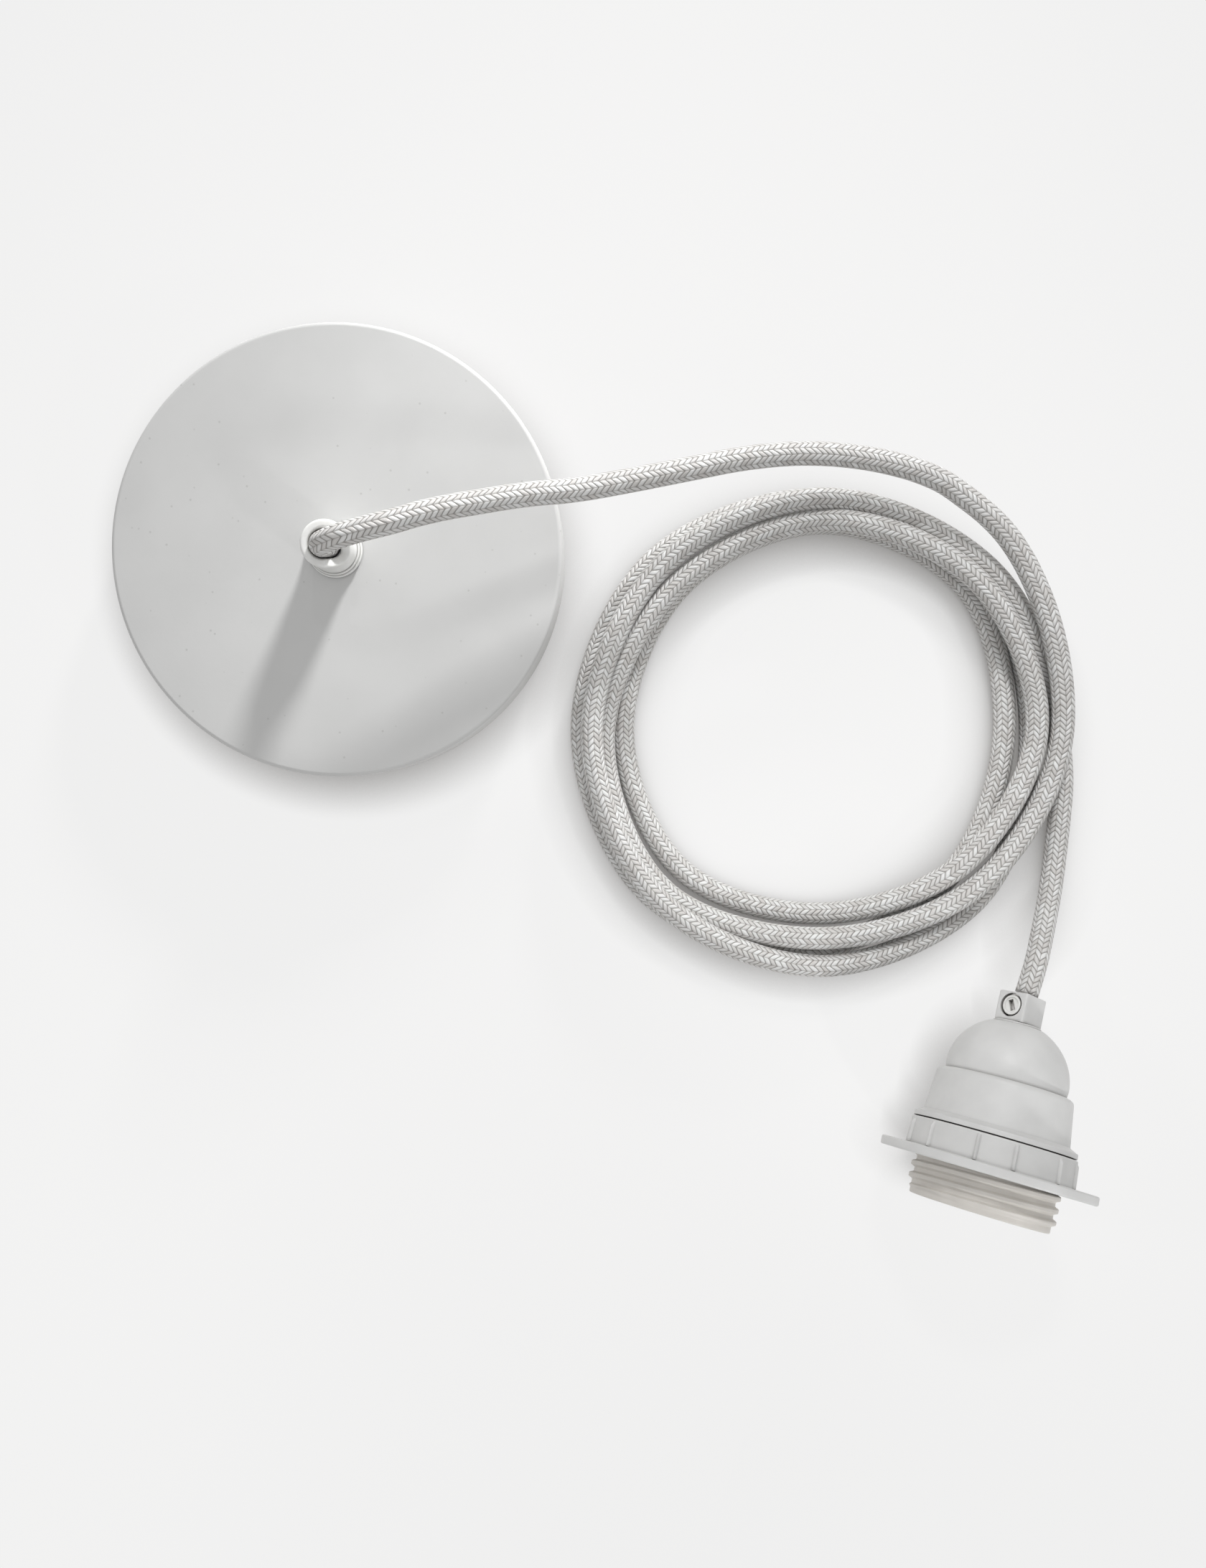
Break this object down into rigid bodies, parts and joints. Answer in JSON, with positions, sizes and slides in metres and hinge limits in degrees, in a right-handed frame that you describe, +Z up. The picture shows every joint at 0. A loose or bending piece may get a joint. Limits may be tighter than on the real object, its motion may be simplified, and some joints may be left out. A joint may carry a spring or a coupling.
{
  "type": "pendant cord set",
  "caption": "Ceiling canopy with cord grip, a textile-braided cord lying in a loose coil, and a screw-type lamp holder with threaded skirt and shade ring.",
  "frame": {"origin": "middle of the footprint of the canopy and the lamp holder, at table height", "axes": "+Z up from the table; +X from the canopy towards the coil of cord; +Y from the lamp holder towards the canopy"},
  "size_m": [0.2678, 0.2472, 0.0557],
  "materials": {
    "canopy_enamel": "satin white stove enamel",
    "white_nylon": "smooth glossy nylon",
    "holder_plastic": "smooth matt thermoplastic",
    "braided_textile": "light grey textile braid",
    "zinc_steel": "zinc plated",
    "green_steel": "green passivated",
    "terminal_plastic": "moulded",
    "brass": "bright",
    "nickel_plate": "nickel plated",
    "porcelain": "glazed ceramic",
    "black_insulation": "smooth",
    "white_insulation": "smooth"
  },
  "bodies": {
    "root": {"canopy": "canopy_enamel", "grip_base_ring": "white_nylon", "grip_barrel": "white_nylon", "grip_screw": "white_nylon", "hollow_nipple": "zinc_steel", "mounting_strap": "zinc_steel", "lock_washer": "zinc_steel", "lock_nut": "zinc_steel", "earth_screw": "green_steel", "terminal_block": "terminal_plastic", "terminal_tube_live": "brass", "terminal_tube_neutral": "brass", "terminal_screw_live_1": "nickel_plate", "terminal_screw_live_2": "nickel_plate", "terminal_screw_neutral_1": "nickel_plate", "terminal_screw_neutral_2": "nickel_plate", "terminal_block_screw": "nickel_plate", "supply_wire_live": "black_insulation", "supply_wire_neutral": "white_insulation", "cord_end_in_canopy": "braided_textile", "cord_end_in_holder": "braided_textile", "cord_upper": "braided_textile", "cord_coil": "braided_textile", "cord_lower": "braided_textile", "holder_grip_block": "holder_plastic", "holder_grip_screw": "white_nylon", "holder_cap": "holder_plastic", "threaded_skirt": "holder_plastic", "shade_ring": "holder_plastic", "insulating_base": "porcelain", "screw_shell": "nickel_plate", "centre_contact": "brass", "shell_rivet": "nickel_plate", "holder_terminal_live": "brass", "holder_terminal_neutral": "brass", "holder_screw_live": "nickel_plate", "holder_screw_neutral": "nickel_plate", "holder_wire_live": "black_insulation", "holder_wire_neutral": "white_insulation"}
  },
  "joints": []
}
